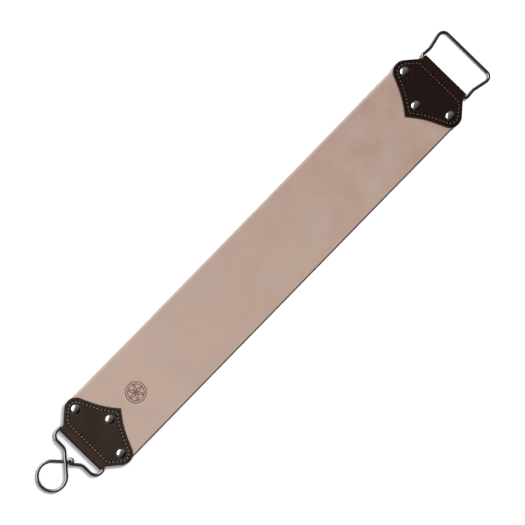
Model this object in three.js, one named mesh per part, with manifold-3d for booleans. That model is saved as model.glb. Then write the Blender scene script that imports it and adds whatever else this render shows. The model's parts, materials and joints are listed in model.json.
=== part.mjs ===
// A leather hanging strop for honing edge tools. One long strap carries a folded leather tab at each
// end, held by three rivets and a stitched seam. A spring-wire hook, bent into a hanging ring, swings
// in the fold of one tab, and a wire handle swings in the fold of the other.
//
// Millimetres, +Z up, +X from the hook to the handle. The origin is under the middle of the whole
// strop, and the strap's underside lies on the plane z = 0.
//
// Each end is built in an end frame of its own: its origin is on the axis that the wire swings about,
// midway through the layers, with +X pointing away from the strap.

import * as THREE from "three";
import { mergeVertices } from "three/addons/utils/BufferGeometryUtils.js";
import Module from "manifold-3d";

const wasm = await Module();
wasm.setup();

// ---------- Driving dimensions ----------

const STRAP_WIDTH = 75;
const STRAP_THICKNESS = 3;
const STRAP_RISE_LENGTH = 60; // each end rises over this length to the middle of its tab
const STRAP_RISE_GAP = 4; // between the end of that rise and the tab's tip
const BAR_X = 229.1; // swing axis of each wire, from the middle of the strap
const LAYER_GAP = 0.1; // between stacked layers
const CUT_GAP = 0.3; // between a piece and the hole it passes through

const TAB_THICKNESS = 1.6;
const TAB_TIP_X = -49.3;
const TAB_TIP_CONTROLS = [[-37.3, 16], [-40.3, 11]]; // of the hollowed edge from lobe to tip
const NECK_HALF_WIDTH = 25.1;
const NECK_FILLET = 3;
const LOBE = { x: -21, y: 28.1, radius: 10.3, shoulderAngle: 49, tipAngle: 156 }; // degrees from +X

const SEAM_INSET = 3.5; // from the tab's outline
const SEAM_ROW_X = -6.7; // straight row beside the fold
const THREAD_WIDTH = 0.9;
const THREAD_THICKNESS = 0.7;
const THREAD_PROUD = 0.3; // above the leather

const RIVET_CAP_RADIUS = 4.25;
const RIVET_DOME_HEIGHT = 1.5;
const RIVET_TUBE_RADIUS = 1.8;
const RIVET_TUBE_WALL = 0.6;
const RIVET_HEAD_RADIUS = 4;
const RIVET_HEAD_THICKNESS = 0.5;
const RIVET_RIM = 0.3; // height and undercut of the cap's rim
const RIVET_HEAD_BEVEL = 0.2;

const WIRE_RADIUS = 1.35;
const MOUTH_BEND = 2.6; // bend radius where a wire leaves the tunnel
const WIRE_FLOOR_GAP = 0.1; // between a lying wire and the plane z = 0

const HANDLE_SHOULDER_Y = 27.5;
const HANDLE_LENGTH = 30.5; // swing axis to the middle of the crossbar
const HANDLE_WAIST = { x: 10.8, y: 26.5, bend: 15 };
const HANDLE_FLARE_Y = 30.9; // where the legs' straight lines would meet the crossbar's
const HANDLE_CORNER_BEND = 5.3;
const HANDLE_END_GAP = 0.8; // between the two butted wire ends inside the tunnel

const RING = { x: 36.8, y: -1.95, radius: 13.2 };
const CROSSING_X = 19.2; // where the ring's two strands cross
const HOOK_SHOULDER_Y = 27;
const HOOK_LEG_X = 11;
const HOOK_LEG_BEND = 7;
const HOOK_STRAND_BEND = 8;
const HOOK_EYE = { x: 15.3, y: 0.6, radius: 1.75, climb: 2.7 };
const HOOK_EYE_EXIT = { y: 3, bend: 5 }; // where the eye's curl opens into its strand
const HOOK_EYE_STRAND_Y = 10.2; // where the eye's strand turns off its leg
const HOOK_TIP = { x: 15.2, y: 2.6 }; // loose end of the ring, under the eye
const CROSSING_GAP = 0.3;

// ---------- Heights worked out from them ----------

const CAVITY_HALF = STRAP_THICKNESS / 2 + LAYER_GAP; // inside a folded tab
const TAB_HALF = CAVITY_HALF + TAB_THICKNESS; // half of a tab's whole thickness
const HEAD_TOP = -TAB_HALF - LAYER_GAP; // rivet heads lie under the tab
const BAR_Z = RIVET_HEAD_THICKNESS - HEAD_TOP; // the rivet heads reach down to z = 0
const WIRE_DROP = BAR_Z - WIRE_RADIUS - WIRE_FLOOR_GAP; // from the swing axis to a lying wire
const CROSSING_RISE = 2 * WIRE_RADIUS + CROSSING_GAP - WIRE_DROP;

const RIVET_HOLE_RADIUS = RIVET_TUBE_RADIUS + CUT_GAP;
const RIVET_PLACES = {
  tip: [-35.6, 0],
  left: [LOBE.x, LOBE.y],
  right: [LOBE.x, -LOBE.y],
};

// ---------- Materials ----------

const strapLeather = new THREE.MeshStandardMaterial({ color: 0xbba193, roughness: 0.8, metalness: 0 });
const tabLeather = new THREE.MeshStandardMaterial({ color: 0x31241f, roughness: 0.55, metalness: 0 });
const seamThread = new THREE.MeshStandardMaterial({ color: 0x665247, roughness: 0.85, metalness: 0 });
const platedSteel = new THREE.MeshStandardMaterial({ color: 0x9a9c9b, roughness: 0.25, metalness: 1 });
const rivetSteel = new THREE.MeshStandardMaterial({ color: 0x8d8f8e, roughness: 0.2, metalness: 1 });

// ---------- Solids ----------

function toSolid(geometry) {
  const bare = geometry.clone();
  bare.deleteAttribute("normal");
  bare.deleteAttribute("uv");
  const merged = mergeVertices(bare);
  const mesh = new wasm.Mesh({
    numProp: 3,
    vertProperties: new Float32Array(merged.attributes.position.array),
    triVerts: new Uint32Array(merged.index.array),
  });
  return new wasm.Manifold(mesh);
}

function toGeometry(solid) {
  const { vertProperties, triVerts } = solid.getMesh();
  const geometry = new THREE.BufferGeometry();
  geometry.setAttribute("position", new THREE.BufferAttribute(vertProperties, 3));
  geometry.setIndex(new THREE.BufferAttribute(triVerts, 1));
  return geometry;
}

// A plan outline given thickness, from one height to another.
function plate(shape, bottom, top) {
  const geometry = new THREE.ExtrudeGeometry(shape, { depth: top - bottom, bevelEnabled: false });
  return toSolid(geometry.translate(0, 0, bottom));
}

// A side profile, drawn in X and Z, given a width about the middle plane y = 0.
function slab(profile, width) {
  const geometry = new THREE.ExtrudeGeometry(profile, { depth: width, bevelEnabled: false });
  return toSolid(geometry.translate(0, 0, -width / 2).rotateX(Math.PI / 2));
}

function uprightHole([x, y], radius, sides = 16) {
  const depth = 4 * TAB_HALF;
  const geometry = new THREE.CylinderGeometry(radius, radius, depth, sides);
  return toSolid(geometry.rotateX(Math.PI / 2).translate(x, y, 0));
}

// ---------- Tab outline and seam ----------

// A tab seen from above, counter-clockwise: neck, shoulder, round lobe, then a hollowed edge to the tip.
function tabOutline() {
  const shoulder = THREE.MathUtils.degToRad(LOBE.shoulderAngle);
  const lobeEnd = THREE.MathUtils.degToRad(LOBE.tipAngle);
  const lobeStartX = LOBE.x + LOBE.radius * Math.cos(shoulder);
  const lobeStartY = LOBE.y + LOBE.radius * Math.sin(shoulder);
  const neckX = lobeStartX + (lobeStartY - NECK_HALF_WIDTH) * Math.tan(shoulder);
  const pastFold = TAB_HALF + 1;

  const half = new THREE.Path();
  half.moveTo(pastFold, NECK_HALF_WIDTH);
  half.lineTo(neckX + NECK_FILLET, NECK_HALF_WIDTH);
  half.quadraticCurveTo(
    neckX,
    NECK_HALF_WIDTH,
    neckX - NECK_FILLET * Math.sin(shoulder),
    NECK_HALF_WIDTH + NECK_FILLET * Math.cos(shoulder),
  );
  half.absarc(LOBE.x, LOBE.y, LOBE.radius, shoulder, lobeEnd, false);
  half.bezierCurveTo(...TAB_TIP_CONTROLS.flat(), TAB_TIP_X, 0);

  const upper = half.getPoints(6);
  const lower = upper.slice(0, -1).reverse();
  return [...upper, ...lower.map((p) => new THREE.Vector2(p.x, -p.y))];
}

// A closed outline moved inward: every side shifts by the distance, and neighbours meet again.
function insetOutline(points, distance) {
  return points.map((point, i) => {
    const before = points[(i + points.length - 1) % points.length];
    const after = points[(i + 1) % points.length];
    const intoPoint = point.clone().sub(before).normalize();
    const outOfPoint = after.clone().sub(point).normalize();
    const mitre = new THREE.Vector2(-intoPoint.y - outOfPoint.y, intoPoint.x + outOfPoint.x);
    return point.clone().addScaledVector(mitre, distance / (1 + intoPoint.dot(outOfPoint)));
  });
}

const OUTLINE = tabOutline();
const SEAM = insetOutline(OUTLINE, SEAM_INSET).filter((point) => point.x < SEAM_ROW_X);

// A flat band that follows the whole seam.
function seamBand(width, bottom, top) {
  const shape = new THREE.Shape(insetOutline(SEAM, -width / 2));
  shape.holes.push(new THREE.Path(insetOutline(SEAM, width / 2)));
  return plate(shape, bottom, top);
}

// ---------- Leather ----------

// One strip of leather folded round the wire's bar, seen from the side.
function foldProfile() {
  const open = TAB_TIP_X - 1;
  const profile = new THREE.Shape();
  profile.moveTo(open, -TAB_HALF);
  profile.lineTo(0, -TAB_HALF);
  profile.absarc(0, 0, TAB_HALF, -Math.PI / 2, Math.PI / 2, false);
  profile.lineTo(open, TAB_HALF);
  profile.lineTo(open, CAVITY_HALF);
  profile.lineTo(0, CAVITY_HALF);
  profile.absarc(0, 0, CAVITY_HALF, Math.PI / 2, -Math.PI / 2, true);
  profile.lineTo(open, -CAVITY_HALF);
  return new THREE.Shape(profile.getPoints(7));
}

function foldedTab() {
  const fold = slab(foldProfile(), 2 * STRAP_WIDTH);
  let tab = fold.intersect(plate(new THREE.Shape(OUTLINE), -2 * TAB_HALF, 2 * TAB_HALF));
  for (const place of Object.values(RIVET_PLACES)) {
    tab = tab.subtract(uprightHole(place, RIVET_HOLE_RADIUS));
  }
  const grooveWidth = THREAD_WIDTH + 2 * CUT_GAP;
  const grooveFloor = TAB_HALF + THREAD_PROUD - THREAD_THICKNESS - CUT_GAP;
  const pastSurface = TAB_HALF + 1;
  tab = tab.subtract(seamBand(grooveWidth, grooveFloor, pastSurface));
  tab = tab.subtract(seamBand(grooveWidth, -pastSurface, -grooveFloor));
  return toGeometry(tab);
}

// The strap lies on z = 0 and rises near each end to enter its tab midway through the layers.
function strapProfile() {
  const endX = BAR_X - WIRE_RADIUS - 3 * CUT_GAP;
  const riseEnd = BAR_X + TAB_TIP_X - STRAP_RISE_GAP;
  const riseStart = riseEnd - STRAP_RISE_LENGTH;
  const riseSteps = 8;
  const lying = STRAP_THICKNESS / 2;
  const middle = [[endX, BAR_Z]];
  for (let i = 0; i <= riseSteps; i += 1) {
    const x = THREE.MathUtils.lerp(riseEnd, riseStart, i / riseSteps);
    const rise = THREE.MathUtils.smoothstep(x, riseStart, riseEnd);
    middle.push([x, THREE.MathUtils.lerp(lying, BAR_Z, rise)]);
  }
  const across = [...middle, ...middle.slice().reverse().map(([x, z]) => [-x, z])];
  const top = across.map(([x, z]) => new THREE.Vector2(x, z + STRAP_THICKNESS / 2));
  const bottom = across.reverse().map(([x, z]) => new THREE.Vector2(x, z - STRAP_THICKNESS / 2));
  return new THREE.Shape([...top, ...bottom]);
}

// The strap's ends are cut to the tab's outline, a little smaller, as far as the lobes.
function strap() {
  const belowAll = -TAB_HALF;
  const aboveAll = BAR_Z + 2 * TAB_HALF;
  const lobeX = BAR_X + LOBE.x;
  const body = new THREE.BoxGeometry(2 * lobeX, 2 * STRAP_WIDTH, 2 * aboveAll);
  let plan = toSolid(body);
  const endOutline = insetOutline(OUTLINE, 2 * CUT_GAP);
  for (const side of [1, -1]) {
    const end = endOutline.map((p) => new THREE.Vector2(side * (BAR_X + p.x), side * p.y));
    plan = plan.add(plate(new THREE.Shape(end), belowAll, aboveAll));
  }
  let leather = slab(strapProfile(), STRAP_WIDTH).intersect(plan);
  for (const side of [1, -1]) {
    for (const [x, y] of Object.values(RIVET_PLACES)) {
      leather = leather.subtract(uprightHole([side * (BAR_X + x), side * y], RIVET_HOLE_RADIUS));
    }
  }
  return toGeometry(leather);
}

// ---------- Rivets ----------

function turned(profile, segments = 16) {
  const points = profile.map(([radius, height]) => new THREE.Vector2(radius, height));
  return new THREE.LatheGeometry(points, segments).rotateX(Math.PI / 2);
}

// Domed cap with a hollow tube that reaches down through the leather.
function rivetCap() {
  const underCap = TAB_HALF + LAYER_GAP;
  const bore = RIVET_TUBE_RADIUS - RIVET_TUBE_WALL;
  const tubeEnd = HEAD_TOP + CUT_GAP;
  const rimTop = underCap + RIVET_RIM;
  const domeSteps = 5;
  const dome = [];
  for (let i = 0; i <= domeSteps; i += 1) {
    const angle = (i / domeSteps) * (Math.PI / 2);
    const rise = (underCap + RIVET_DOME_HEIGHT - rimTop) * Math.sin(angle);
    dome.push([RIVET_CAP_RADIUS * Math.cos(angle), rimTop + rise]);
  }
  dome[domeSteps][0] = 0;
  return turned([
    [0, underCap],
    [bore, underCap],
    [bore, tubeEnd],
    [RIVET_TUBE_RADIUS, tubeEnd],
    [RIVET_TUBE_RADIUS, underCap],
    [RIVET_CAP_RADIUS - RIVET_RIM, underCap],
    ...dome,
  ]);
}

// Flat head under the tab with the post that is pressed up into the cap's tube.
function rivetPost() {
  const postRadius = RIVET_TUBE_RADIUS - RIVET_TUBE_WALL - CUT_GAP;
  const postTop = TAB_HALF + LAYER_GAP - CUT_GAP;
  const headBottom = HEAD_TOP - RIVET_HEAD_THICKNESS;
  return turned([
    [0, headBottom],
    [RIVET_HEAD_RADIUS - RIVET_HEAD_BEVEL, headBottom],
    [RIVET_HEAD_RADIUS, headBottom + RIVET_HEAD_BEVEL],
    [RIVET_HEAD_RADIUS, HEAD_TOP],
    [postRadius, HEAD_TOP],
    [postRadius, postTop],
    [0, postTop],
  ]);
}

// ---------- Wires ----------

// The stations of a wire bent at each corner [x, y, z, bend radius] of its route.
function bentRoute(corners) {
  const stepAngle = THREE.MathUtils.degToRad(22);
  const points = corners.map(([x, y, z]) => new THREE.Vector3(x, y, z));
  const stations = [points[0]];
  for (let i = 1; i < corners.length - 1; i += 1) {
    const back = points[i - 1].clone().sub(points[i]).normalize();
    const ahead = points[i + 1].clone().sub(points[i]).normalize();
    const halfCorner = back.angleTo(ahead) / 2;
    const turn = Math.PI - 2 * halfCorner;
    const bend = corners[i][3];
    const inward = back.clone().add(ahead).normalize();
    const centre = points[i].clone().addScaledVector(inward, bend / Math.sin(halfCorner));
    const start = points[i].clone().addScaledVector(back, bend / Math.tan(halfCorner));
    const spoke = start.sub(centre);
    const axis = new THREE.Vector3().crossVectors(ahead, back).normalize();
    const steps = Math.ceil(turn / stepAngle);
    for (let step = 0; step <= steps; step += 1) {
      const radial = spoke.clone().applyAxisAngle(axis, (turn * step) / steps);
      stations.push(radial.add(centre));
    }
  }
  stations.push(points[points.length - 1]);
  return stations;
}

// A curve that a sweep follows exactly from one station to the next.
class StationCurve extends THREE.Curve {
  constructor(stations) {
    super();
    this.stations = stations;
  }

  getPointAt(u) {
    return this.stations[Math.round(u * (this.stations.length - 1))].clone();
  }

  getTangentAt(u) {
    const last = this.stations.length - 1;
    const i = Math.round(u * last);
    const before = this.stations[Math.max(i - 1, 0)];
    const after = this.stations[Math.min(i + 1, last)];
    return after.clone().sub(before).normalize();
  }
}

function sweptWire(stations) {
  const section = new THREE.Shape();
  section.absarc(0, 0, WIRE_RADIUS, 0, 2 * Math.PI, false);
  return new THREE.ExtrudeGeometry(section, {
    curveSegments: 5,
    steps: stations.length - 1,
    extrudePath: new StationCurve(stations),
  });
}

// One wire bent into a D, with its two ends butted together inside the tunnel.
function handleWire() {
  const half = [
    [0, HANDLE_SHOULDER_Y, 0, MOUTH_BEND],
    [HANDLE_WAIST.x, HANDLE_WAIST.y, 0, HANDLE_WAIST.bend],
    [HANDLE_LENGTH, HANDLE_FLARE_Y, 0, HANDLE_CORNER_BEND],
  ];
  const otherHalf = half.slice().reverse().map(([x, y, z, bend]) => [x, -y, z, bend]);
  const start = [0, HANDLE_END_GAP / 2, 0];
  const end = [0, -HANDLE_END_GAP / 2, 0];
  return sweptWire(bentRoute([start, ...half, ...otherHalf, end]));
}

// The corners whose bends join into the ring, sinking from the crossing's upper strand to its lower.
function ringCorners(strandAngle) {
  const count = 4;
  const firstTangent = Math.PI / 2 + strandAngle;
  const sweep = (2 * firstTangent) / count;
  const reach = RING.radius / Math.cos(sweep / 2);
  const corners = [];
  for (let i = 0; i < count; i += 1) {
    const angle = firstTangent - (i + 0.5) * sweep;
    const z = THREE.MathUtils.lerp(CROSSING_RISE, -WIRE_DROP, i / (count - 1));
    corners.push([RING.x + reach * Math.cos(angle), RING.y + reach * Math.sin(angle), z, RING.radius]);
  }
  return corners;
}

// The loose end of a curl of wire, wound upward so that it passes over its own strand.
function eyeCorners() {
  const { x, y, radius, climb } = HOOK_EYE;
  const rise = (share) => CROSSING_RISE + share * climb;
  return [
    [x, y + radius, rise(1)],
    [x - radius, y + radius, rise(0.6), radius],
    [x - radius, y - radius, rise(0.2), radius],
    [x + radius, y - radius, rise(0), radius],
    [x + radius, HOOK_EYE_EXIT.y, rise(0), HOOK_EYE_EXIT.bend],
  ];
}

// One spring wire: a curled eye, two legs joined by the bar in the tunnel, and the hanging ring.
function hookWire() {
  const strandAngle = Math.asin(RING.radius / (RING.x - CROSSING_X));
  const ringStrandY = RING.y - (CROSSING_X - HOOK_LEG_X) * Math.tan(strandAngle);
  const route = [
    ...eyeCorners(),
    [HOOK_LEG_X, HOOK_EYE_STRAND_Y, 0, HOOK_STRAND_BEND],
    [HOOK_LEG_X, HOOK_SHOULDER_Y, 0, HOOK_LEG_BEND],
    [0, HOOK_SHOULDER_Y, 0, MOUTH_BEND],
    [0, -HOOK_SHOULDER_Y, 0, MOUTH_BEND],
    [HOOK_LEG_X, -HOOK_SHOULDER_Y, 0, HOOK_LEG_BEND],
    [HOOK_LEG_X, ringStrandY, CROSSING_RISE, HOOK_STRAND_BEND],
    ...ringCorners(strandAngle),
    [HOOK_TIP.x, HOOK_TIP.y, -WIRE_DROP],
  ];
  return sweptWire(bentRoute(route));
}

// ---------- Assembly ----------

function namedMesh(name, geometry, material) {
  const mesh = new THREE.Mesh(geometry, material);
  mesh.name = name;
  return mesh;
}

// A tab with its seam threads and rivets, in its end frame.
function fastenedTab(name) {
  const end = new THREE.Group();
  end.add(namedMesh(`${name}_tab`, foldedTab(), tabLeather));

  const threadTop = TAB_HALF + THREAD_PROUD;
  const topThread = seamBand(THREAD_WIDTH, threadTop - THREAD_THICKNESS, threadTop);
  const underThread = seamBand(THREAD_WIDTH, -threadTop, THREAD_THICKNESS - threadTop);
  end.add(namedMesh(`${name}_top_thread`, toGeometry(topThread), seamThread));
  end.add(namedMesh(`${name}_under_thread`, toGeometry(underThread), seamThread));

  for (const [place, [x, y]] of Object.entries(RIVET_PLACES)) {
    const cap = namedMesh(`${name}_${place}_rivet_cap`, rivetCap(), rivetSteel);
    const post = namedMesh(`${name}_${place}_rivet_post`, rivetPost(), rivetSteel);
    for (const piece of [cap, post]) {
      piece.position.set(x, y, 0);
      end.add(piece);
    }
  }
  return end;
}

const handleEnd = fastenedTab("handle");
handleEnd.position.set(BAR_X, 0, BAR_Z);
const handle = namedMesh("handle_wire", handleWire(), platedSteel);
handle.rotation.y = Math.asin(WIRE_DROP / HANDLE_LENGTH); // the crossbar lies on the surface
handleEnd.add(handle);

const hookEnd = fastenedTab("hook");
hookEnd.position.set(-BAR_X, 0, BAR_Z);
hookEnd.rotation.z = Math.PI;
hookEnd.add(namedMesh("hook_wire", hookWire(), platedSteel));

const strop = new THREE.Group();
strop.add(namedMesh("strap", strap(), strapLeather), handleEnd, hookEnd);

const reach = new THREE.Box3().setFromObject(strop, true);
strop.position.x = -(reach.min.x + reach.max.x) / 2;

export default strop;
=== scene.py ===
"""Looks of the leather hanging strop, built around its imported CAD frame.

Shapes are worked out in millimetres and turned into metres as each mesh is made; the floor, lights and
materials are in metres. The row frame is the CAD model's own. An end frame has its origin on the axis
that a wire swings about, with +X pointing away from the strap, so one description serves both ends.
"""
import json
import math

import bpy
import numpy as np
from mathutils import Matrix, Vector, geometry


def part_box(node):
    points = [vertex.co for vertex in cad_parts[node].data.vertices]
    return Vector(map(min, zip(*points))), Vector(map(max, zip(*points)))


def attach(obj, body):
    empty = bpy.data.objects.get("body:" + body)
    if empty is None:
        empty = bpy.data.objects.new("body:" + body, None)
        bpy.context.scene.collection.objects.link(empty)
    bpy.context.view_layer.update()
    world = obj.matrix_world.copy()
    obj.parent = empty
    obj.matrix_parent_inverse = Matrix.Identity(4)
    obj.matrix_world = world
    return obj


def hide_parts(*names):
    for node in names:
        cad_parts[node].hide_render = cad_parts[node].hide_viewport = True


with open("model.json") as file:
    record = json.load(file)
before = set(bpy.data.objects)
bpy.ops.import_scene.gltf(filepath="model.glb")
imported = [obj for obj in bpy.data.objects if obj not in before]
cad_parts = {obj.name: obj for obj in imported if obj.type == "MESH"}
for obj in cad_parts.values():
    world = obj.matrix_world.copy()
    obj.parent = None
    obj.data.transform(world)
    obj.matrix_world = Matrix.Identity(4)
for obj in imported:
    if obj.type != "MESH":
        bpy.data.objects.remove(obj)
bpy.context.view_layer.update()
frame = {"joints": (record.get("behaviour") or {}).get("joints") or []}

MM = 0.001
RANDOM = np.random.default_rng(7)
HANDLE_END = 1
HOOK_END = -1

# ---------- Sizes read from the frame, and those that it can't give ----------


def box_mm(node):
    low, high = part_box(node)
    return np.array(low) / MM, np.array(high) / MM


def middle_mm(node):
    low, high = box_mm(node)
    return (low + high) / 2


JOINTS = {joint["name"]: joint for joint in frame["joints"]}
HANDLE_AXIS = np.array(JOINTS["handle_swing"]["pos_m"]) / MM
HOOK_AXIS = np.array(JOINTS["hook_swing"]["pos_m"]) / MM
BAR_Z = HANDLE_AXIS[2]
STRAP_MIDDLE_X = (HANDLE_AXIS[0] + HOOK_AXIS[0]) / 2
BAR_X = (HANDLE_AXIS[0] - HOOK_AXIS[0]) / 2

_, STRAP_HIGH = box_mm("strap")
STRAP_HALF_WIDTH = STRAP_HIGH[1]
STRAP_THICKNESS = 3.0
STRAP_END_X = STRAP_HIGH[0] - STRAP_MIDDLE_X

TAB_LOW, TAB_HIGH = box_mm("handle_tab")
TAB_TIP_X = TAB_LOW[0] - HANDLE_AXIS[0]
TAB_HALF = TAB_HIGH[2] - BAR_Z
TAB_THICKNESS = 1.6
RIVET_PLACES = {
    place: (middle_mm(f"handle_{place}_rivet_cap") - HANDLE_AXIS)[:2]
    for place in ("tip", "left", "right")
}

# The tab's outline: a neck as wide as the fold, a lobe round each side rivet, and a pointed tip. The
# two angles are where a lobe's arc meets the neck's flank and the curve to the tip.
NECK_HALF_WIDTH = 25.1
NECK_FILLET = 3.0
LOBE = RIVET_PLACES["left"]
LOBE_RADIUS = TAB_HIGH[1] - LOBE[1]
LOBE_SHOULDER = math.radians(49)
LOBE_TIP_SIDE = math.radians(156)
TIP_CURVE_CONTROLS = ((-37.3, 16.0), (-40.3, 11.0))

SEAM_INSET = 3.5
SEAM_ROW_X = -6.7
STITCH_PITCH = 3.4
STITCH_SLANT = 0.22
HOLE_RADIUS = 0.92
THREAD_RADIUS = 0.41

CAP_LOW, CAP_HIGH = box_mm("handle_tip_rivet_cap")
CAP_RADIUS = (CAP_HIGH[0] - CAP_LOW[0]) / 2
CAP_TOP = CAP_HIGH[2] - BAR_Z
HEAD_LOW, HEAD_HIGH = box_mm("handle_tip_rivet_post")
HEAD_RADIUS = (HEAD_HIGH[0] - HEAD_LOW[0]) / 2
RIVET_HOLE_RADIUS = 2.1

WIRE_RADIUS = 1.35
FLOOR_GAP = 0.1

# ---------- Mesh helpers ----------

NEARLY_ZERO = 1e-12
NEARLY_PARALLEL = 0.1
INSET_TOLERANCE = 0.96
CLEAR_OF_LOOPS = 0.06
DELAUNAY_MARGIN = 1e-5
LATHE_SEGMENTS = 64


def new_piece(name, points, faces, materials, smooth=True):
    """A mesh object from points in metres; faces are lists of point numbers."""
    mesh = bpy.data.meshes.new(name)
    mesh.from_pydata([tuple(p) for p in points], [], [tuple(int(i) for i in f) for f in faces])
    for item in materials:
        mesh.materials.append(item)
    if smooth:
        mesh.polygons.foreach_set("use_smooth", [True] * len(mesh.polygons))
    mesh.update()
    piece = bpy.data.objects.new(name, mesh)
    bpy.context.scene.collection.objects.link(piece)
    return piece


def add_attribute(piece, name, values):
    attribute = piece.data.attributes.new(name, "FLOAT", "POINT")
    attribute.data.foreach_set("value", np.asarray(values, np.float32))


def arc(centre, radius, angles):
    return np.column_stack([centre[0] + radius * np.cos(angles), centre[1] + radius * np.sin(angles)])


def circle(centre, radius, count):
    return arc(centre, radius, np.arange(count) * 2 * math.pi / count)


def bezier(controls, count):
    t = np.linspace(0, 1, count)[:, None]
    a, b, c, d = (np.array(p, float) for p in controls)
    return (1 - t) ** 3 * a + 3 * (1 - t) ** 2 * t * b + 3 * (1 - t) * t**2 * c + t**3 * d


def mirrored(points):
    """The same points on the other side of the X axis, in the opposite order."""
    return (points * (1, -1))[::-1]


def distance_to_loop(points, loop):
    """Distance from each point to a closed polyline."""
    best = np.full(len(points), np.inf)
    for a, b in zip(loop, np.roll(loop, -1, axis=0)):
        along = b - a
        share = np.clip(((points - a) @ along) / max(along @ along, NEARLY_ZERO), 0, 1)
        gap = np.linalg.norm(points - a - share[:, None] * along, axis=1)
        best = np.minimum(best, gap)
    return best


def inside_loop(points, loop):
    """Which points lie inside a closed polyline, by the even-odd rule."""
    inside = np.zeros(len(points), bool)
    x, y = points[:, 0], points[:, 1]
    for a, b in zip(loop, np.roll(loop, -1, axis=0)):
        crosses = (a[1] > y) != (b[1] > y)
        rise = b[1] - a[1] if b[1] != a[1] else NEARLY_ZERO
        inside ^= crosses & (x < (b[0] - a[0]) * (y - a[1]) / rise + a[0])
    return inside


def within(points, loops):
    """Which points lie inside the first loop and outside the others, which bound holes."""
    inside = inside_loop(points, loops[0])
    for hole in loops[1:]:
        inside &= ~inside_loop(points, hole)
    return inside


def even_loop(loop, spacing):
    """The same closed polyline with points about that far apart."""
    closed = np.vstack([loop, loop[:1]])
    lengths = np.linalg.norm(np.diff(closed, axis=0), axis=1)
    reach = np.concatenate([[0], np.cumsum(lengths)])
    count = max(3, round(reach[-1] / spacing))
    wanted = np.arange(count) * reach[-1] / count
    return np.column_stack([np.interp(wanted, reach, closed[:, axis]) for axis in (0, 1)])


def loop_normals(loop):
    """A unit normal at each point of a closed polyline, pointing to its left."""
    ahead = np.roll(loop, -1, axis=0) - np.roll(loop, 1, axis=0)
    normal = np.column_stack([-ahead[:, 1], ahead[:, 0]])
    return normal / np.linalg.norm(normal, axis=1)[:, None]


def inset_points(loop, distance):
    """Points that far inside a counter-clockwise loop, without those that another side is nearer to."""
    moved = loop + distance * loop_normals(loop)
    return moved[distance_to_loop(moved, loop) > distance * INSET_TOLERANCE]


def along_loop(loop, offsets):
    normal = loop_normals(loop)
    return np.vstack([loop + offset * normal for offset in offsets])


def around(centre, radii, spacing):
    return np.vstack([circle(centre, r, max(8, round(2 * math.pi * r / spacing))) for r in radii])


def grid(low, high, spacing, jitter=0.25):
    """A grid of points, each moved at random by up to jitter of the spacing."""
    xs = np.arange(low[0], high[0], spacing)
    ys = np.arange(low[1], high[1], spacing)
    points = np.array(np.meshgrid(xs, ys)).reshape(2, -1).T
    return points + RANDOM.uniform(-jitter, jitter, points.shape) * spacing


def thinned(points, spacing):
    """One point for each cell of a square grid, so that none lie on top of each other."""
    cells = np.round(points / spacing).astype(int)
    _, first = np.unique(cells, axis=0, return_index=True)
    return points[np.sort(first)]


def triangulate(loops, inner_points):
    """Flat points, and the triangles that fill the first loop apart from the holes in it."""
    keep = within(inner_points, loops)
    for loop in loops:
        keep &= distance_to_loop(inner_points, loop) > CLEAR_OF_LOOPS
    flat = np.vstack([*loops, inner_points[keep]])
    edges = []
    start = 0
    for loop in loops:
        count = len(loop)
        edges += [(start + i, start + (i + 1) % count) for i in range(count)]
        start += count
    result = geometry.delaunay_2d_cdt([Vector(p) for p in flat], edges, [], 0, DELAUNAY_MARGIN)
    flat = np.array([tuple(p) for p in result[0]])
    triangles = np.array([f for f in result[2] if len(f) == 3])
    centres = flat[triangles].mean(axis=1)
    return flat, triangles[within(centres, loops)]


def wall_faces(triangles, count):
    """Faces from the top's open edges to the underside, whose point numbers are count higher."""
    directed = {}
    for a, b, c in triangles:
        for edge in ((a, b), (b, c), (c, a)):
            directed[edge] = True
    return [(b, a, a + count, b + count) for a, b in directed if (b, a) not in directed]


def leather_sheet(name, outline, holes, inner_points, outer, inner, place, materials, edge_reach):
    """A thick sheet with a top, an underside and cut walls.

    outline and holes are closed loops in the flat, and inner_points are extra points of the
    triangulation. outer and inner give the two surfaces' offsets from the middle of the leather, and
    place lays flat points at an offset into space. The first material is for the top, and the second
    for everything else. The edge attribute fades from 1 at the cut, over edge_reach.
    """
    flat, triangles = triangulate([outline, *holes], inner_points)
    count = len(flat)
    top = place(flat, outer(flat))
    bottom = place(flat, inner(flat))
    faces = [tuple(f) for f in triangles]
    faces += [tuple(f[::-1] + count) for f in triangles]
    faces += wall_faces(triangles, count)
    piece = new_piece(name, np.vstack([top, bottom]) * MM, faces, materials)
    edge = np.exp(-distance_to_loop(flat, outline) / edge_reach)
    add_attribute(piece, "edge", np.concatenate([edge, edge]))
    slots = np.zeros(len(faces), np.int32)
    slots[len(triangles):] = 1
    piece.data.polygons.foreach_set("material_index", slots)
    return piece


def lathe(name, profile, centre, material):
    """A turned piece: profile is [radius, height] in millimetres, from the axis outward and back to it."""
    points = []
    rings = []
    angles = np.arange(LATHE_SEGMENTS) * 2 * math.pi / LATHE_SEGMENTS
    for radius, height in profile:
        turned = angles if radius > 0 else angles[:1]
        rings.append(len(points) + np.arange(len(turned)))
        points += [centre + (radius * math.cos(a), radius * math.sin(a), height) for a in turned]
    faces = []
    for below, above in zip(rings, rings[1:]):
        for i in range(LATHE_SEGMENTS):
            j = (i + 1) % LATHE_SEGMENTS
            if len(below) == 1:
                faces.append((below[0], above[j], above[i]))
            elif len(above) == 1:
                faces.append((below[i], below[j], above[0]))
            else:
                faces.append((below[i], below[j], above[j], above[i]))
    return new_piece(name, np.array(points) * MM, faces, [material])


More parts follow.
